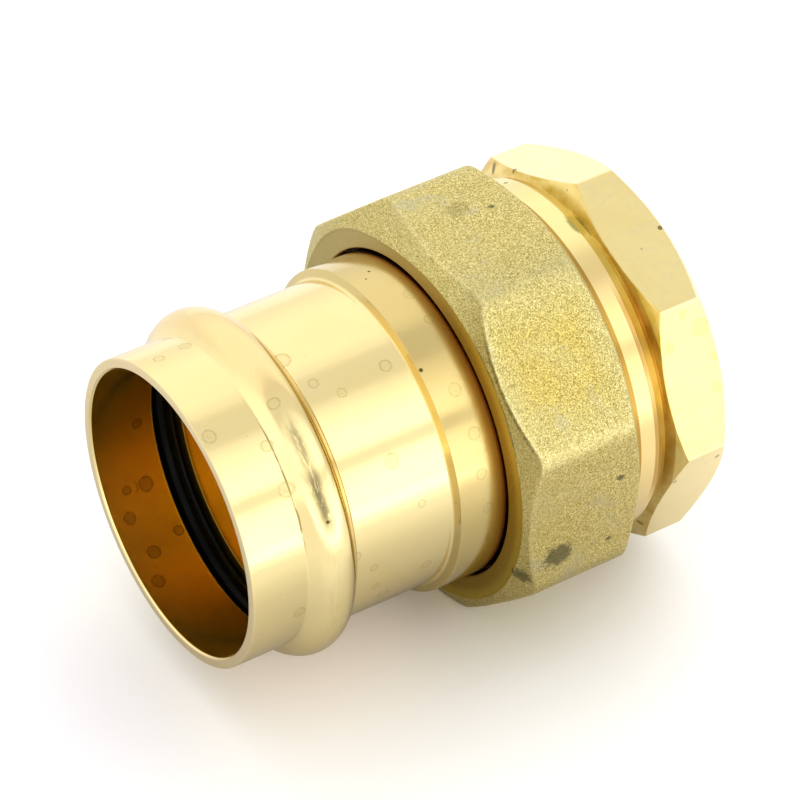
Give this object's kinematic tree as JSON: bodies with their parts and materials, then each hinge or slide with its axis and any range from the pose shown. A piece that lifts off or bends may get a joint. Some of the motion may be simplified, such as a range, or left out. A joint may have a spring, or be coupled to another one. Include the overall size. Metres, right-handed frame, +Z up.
{
  "type": "pipe union",
  "caption": "Flat-sealing pipe union: press socket for plain tube at one end, loose octagonal union nut, and an octagonal end piece with a female pipe thread.",
  "frame": {"origin": "on the pipe axis at the middle of the overall length, which is also the centre of the bounding box", "axes": "X along the pipe axis with +X from the press socket towards the female thread; +Z up when the union lies on a flat of its nut; +Y completes the right-handed set"},
  "size_m": [0.097, 0.076, 0.076],
  "materials": {
    "tail_bronze": "smooth drawn and polished pale bronze with faint water stains",
    "o_ring_rubber": "matt black moulded EPDM",
    "ring_wire": "drawn spring wire",
    "nut_brass": "forged and blasted grainy brass with turned front face and bore",
    "gasket_rubber": "matt black flat EPDM",
    "end_brass": "turned and milled satin yellow brass"
  },
  "bodies": {
    "end_piece": {"threaded_end": "end_brass"},
    "seal": {"flat_gasket": "gasket_rubber"},
    "nut": {"union_nut": "nut_brass"},
    "tail": {"press_tail": "tail_bronze", "socket_o_ring": "o_ring_rubber", "retaining_ring": "ring_wire"}
  },
  "joints": [
    {"name": "union_travel", "type": "slide", "parent": "end_piece", "child": "seal", "axis": [-1, 0, 0], "range_m": [0, 0.01155]},
    {"name": "nut_turn", "type": "hinge", "parent": "seal", "child": "nut", "pos_m": [0, 0, 0], "axis": [-1, 0, 0], "range_deg": [0, 1800]},
    {"name": "tail_swivel", "type": "hinge", "parent": "seal", "child": "tail", "pos_m": [0, 0, 0], "axis": [1, 0, 0], "continuous": true}
  ],
  "couplings": [
    {"joint": "union_travel", "follows": "nut_turn", "m_per_rad": 0.0003675}
  ]
}
